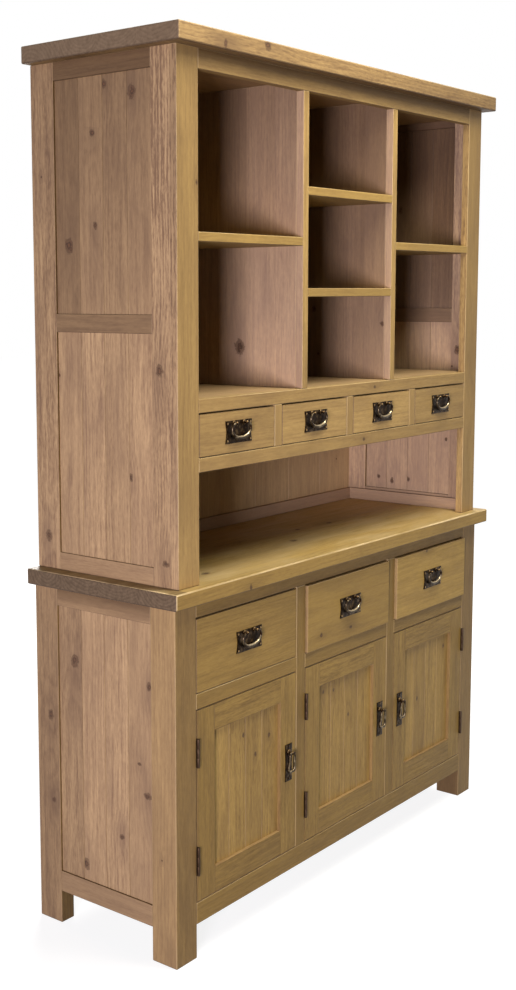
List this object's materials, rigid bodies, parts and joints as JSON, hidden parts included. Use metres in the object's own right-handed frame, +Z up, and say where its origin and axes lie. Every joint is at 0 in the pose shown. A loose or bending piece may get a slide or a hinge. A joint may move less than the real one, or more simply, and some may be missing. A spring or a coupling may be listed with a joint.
{
  "type": "sideboard with hutch",
  "caption": "Rustic pine sideboard with panelled doors and drawers below, and an open hutch above with shelves, small drawers and a niche over the worktop.",
  "frame": {"origin": "on the floor, under the middle of the bounding box", "axes": "+Z up, -Y towards the person in front, +X to the right of that person"},
  "size_m": [1.4, 0.45, 2],
  "materials": {
    "waxed_pine": "waxed, knotty, eased edges",
    "inner_pine": "plain sawn and planed",
    "aged_bronze": "dark patina, hammered",
    "dark_hinge_iron": "dark, slightly worn",
    "screw_steel": "plain"
  },
  "bodies": {
    "carcass": {"cornice_board": "waxed_pine", "hutch_side_frames": "waxed_pine", "hutch_side_boards": "waxed_pine", "hutch_front_frame": "waxed_pine", "hutch_dividers": "waxed_pine", "hutch_shelves": "waxed_pine", "hutch_cross_boards": "inner_pine", "hutch_drawer_guides": "inner_pine", "hutch_back_boards": "inner_pine", "niche_battens": "waxed_pine", "hutch_fixing_screws": "screw_steel", "worktop": "waxed_pine", "base_front_legs": "waxed_pine", "base_back_legs": "waxed_pine", "base_side_rails": "waxed_pine", "base_side_boards": "waxed_pine", "base_front_frame": "waxed_pine", "base_partitions": "inner_pine", "base_drawer_boards": "inner_pine", "base_floor": "inner_pine", "base_shelves": "inner_pine", "base_inner_battens": "inner_pine", "base_back_boards": "inner_pine", "frame_hinge_leaves": "dark_hinge_iron"},
    "small_drawer_1": {"small_drawer_1": "waxed_pine", "small_drawer_plate_1": "aged_bronze"},
    "small_drawer_bail_1": {"small_drawer_bail_1": "aged_bronze"},
    "small_drawer_2": {"small_drawer_2": "waxed_pine", "small_drawer_plate_2": "aged_bronze"},
    "small_drawer_bail_2": {"small_drawer_bail_2": "aged_bronze"},
    "small_drawer_3": {"small_drawer_3": "waxed_pine", "small_drawer_plate_3": "aged_bronze"},
    "small_drawer_bail_3": {"small_drawer_bail_3": "aged_bronze"},
    "small_drawer_4": {"small_drawer_4": "waxed_pine", "small_drawer_plate_4": "aged_bronze"},
    "small_drawer_bail_4": {"small_drawer_bail_4": "aged_bronze"},
    "base_drawer_1": {"base_drawer_1": "waxed_pine", "base_drawer_plate_1": "aged_bronze"},
    "base_drawer_bail_1": {"base_drawer_bail_1": "aged_bronze"},
    "base_drawer_2": {"base_drawer_2": "waxed_pine", "base_drawer_plate_2": "aged_bronze"},
    "base_drawer_bail_2": {"base_drawer_bail_2": "aged_bronze"},
    "base_drawer_3": {"base_drawer_3": "waxed_pine", "base_drawer_plate_3": "aged_bronze"},
    "base_drawer_bail_3": {"base_drawer_bail_3": "aged_bronze"},
    "door_1": {"door_frame_1": "waxed_pine", "door_panel_1": "waxed_pine", "door_pull_plate_1": "aged_bronze", "door_hinge_leaves_1": "dark_hinge_iron"},
    "door_drop_1": {"door_drop_1": "aged_bronze"},
    "door_2": {"door_frame_2": "waxed_pine", "door_panel_2": "waxed_pine", "door_pull_plate_2": "aged_bronze", "door_hinge_leaves_2": "dark_hinge_iron"},
    "door_drop_2": {"door_drop_2": "aged_bronze"},
    "door_3": {"door_frame_3": "waxed_pine", "door_panel_3": "waxed_pine", "door_pull_plate_3": "aged_bronze", "door_hinge_leaves_3": "dark_hinge_iron"},
    "door_drop_3": {"door_drop_3": "aged_bronze"}
  },
  "joints": [
    {"name": "small_drawer_1_slide", "type": "slide", "parent": "carcass", "child": "small_drawer_1", "axis": [0, -1, 0], "range_m": [0, 0.26]},
    {"name": "small_drawer_1_bail_swing", "type": "hinge", "parent": "small_drawer_1", "child": "small_drawer_bail_1", "pos_m": [-0.45487, -0.2055, 1.18025], "axis": [-1, 0, 0], "range_deg": [0, 100]},
    {"name": "small_drawer_2_slide", "type": "slide", "parent": "carcass", "child": "small_drawer_2", "axis": [0, -1, 0], "range_m": [0, 0.26]},
    {"name": "small_drawer_2_bail_swing", "type": "hinge", "parent": "small_drawer_2", "child": "small_drawer_bail_2", "pos_m": [-0.15163, -0.2055, 1.18025], "axis": [-1, 0, 0], "range_deg": [0, 100]},
    {"name": "small_drawer_3_slide", "type": "slide", "parent": "carcass", "child": "small_drawer_3", "axis": [0, -1, 0], "range_m": [0, 0.26]},
    {"name": "small_drawer_3_bail_swing", "type": "hinge", "parent": "small_drawer_3", "child": "small_drawer_bail_3", "pos_m": [0.15163, -0.2055, 1.18025], "axis": [-1, 0, 0], "range_deg": [0, 100]},
    {"name": "small_drawer_4_slide", "type": "slide", "parent": "carcass", "child": "small_drawer_4", "axis": [0, -1, 0], "range_m": [0, 0.26]},
    {"name": "small_drawer_4_bail_swing", "type": "hinge", "parent": "small_drawer_4", "child": "small_drawer_bail_4", "pos_m": [0.45487, -0.2055, 1.18025], "axis": [-1, 0, 0], "range_deg": [0, 100]},
    {"name": "base_drawer_1_slide", "type": "slide", "parent": "carcass", "child": "base_drawer_1", "axis": [0, -1, 0], "range_m": [0, 0.28]},
    {"name": "base_drawer_1_bail_swing", "type": "hinge", "parent": "base_drawer_1", "child": "base_drawer_bail_1", "pos_m": [-0.41533, -0.2055, 0.70375], "axis": [-1, 0, 0], "range_deg": [0, 100]},
    {"name": "base_drawer_2_slide", "type": "slide", "parent": "carcass", "child": "base_drawer_2", "axis": [0, -1, 0], "range_m": [-0.006, 0.28]},
    {"name": "base_drawer_2_bail_swing", "type": "hinge", "parent": "base_drawer_2", "child": "base_drawer_bail_2", "pos_m": [0, -0.2115, 0.70375], "axis": [-1, 0, 0], "range_deg": [0, 100]},
    {"name": "base_drawer_3_slide", "type": "slide", "parent": "carcass", "child": "base_drawer_3", "axis": [0, -1, 0], "range_m": [-0.007, 0.28]},
    {"name": "base_drawer_3_bail_swing", "type": "hinge", "parent": "base_drawer_3", "child": "base_drawer_bail_3", "pos_m": [0.41533, -0.2125, 0.70375], "axis": [-1, 0, 0], "range_deg": [0, 100]},
    {"name": "door_1_hinge", "type": "hinge", "parent": "carcass", "child": "door_1", "pos_m": [-0.6037, -0.1989, 0.129], "axis": [0, 0, -1], "range_deg": [0, 110]},
    {"name": "door_1_drop_swing", "type": "hinge", "parent": "door_1", "child": "door_drop_1", "pos_m": [-0.25867, -0.2075, 0.3755], "axis": [-1, 0, 0], "range_deg": [0, 100]},
    {"name": "door_2_hinge", "type": "hinge", "parent": "carcass", "child": "door_2", "pos_m": [-0.18837, -0.1989, 0.129], "axis": [0, 0, -1], "range_deg": [0, 110]},
    {"name": "door_2_drop_swing", "type": "hinge", "parent": "door_2", "child": "door_drop_2", "pos_m": [0.15667, -0.2075, 0.3755], "axis": [-1, 0, 0], "range_deg": [0, 100]},
    {"name": "door_3_hinge", "type": "hinge", "parent": "carcass", "child": "door_3", "pos_m": [0.6037, -0.1989, 0.129], "axis": [0, 0, 1], "range_deg": [0, 110]},
    {"name": "door_3_drop_swing", "type": "hinge", "parent": "door_3", "child": "door_drop_3", "pos_m": [0.25867, -0.2075, 0.3755], "axis": [-1, 0, 0], "range_deg": [0, 100]}
  ]
}
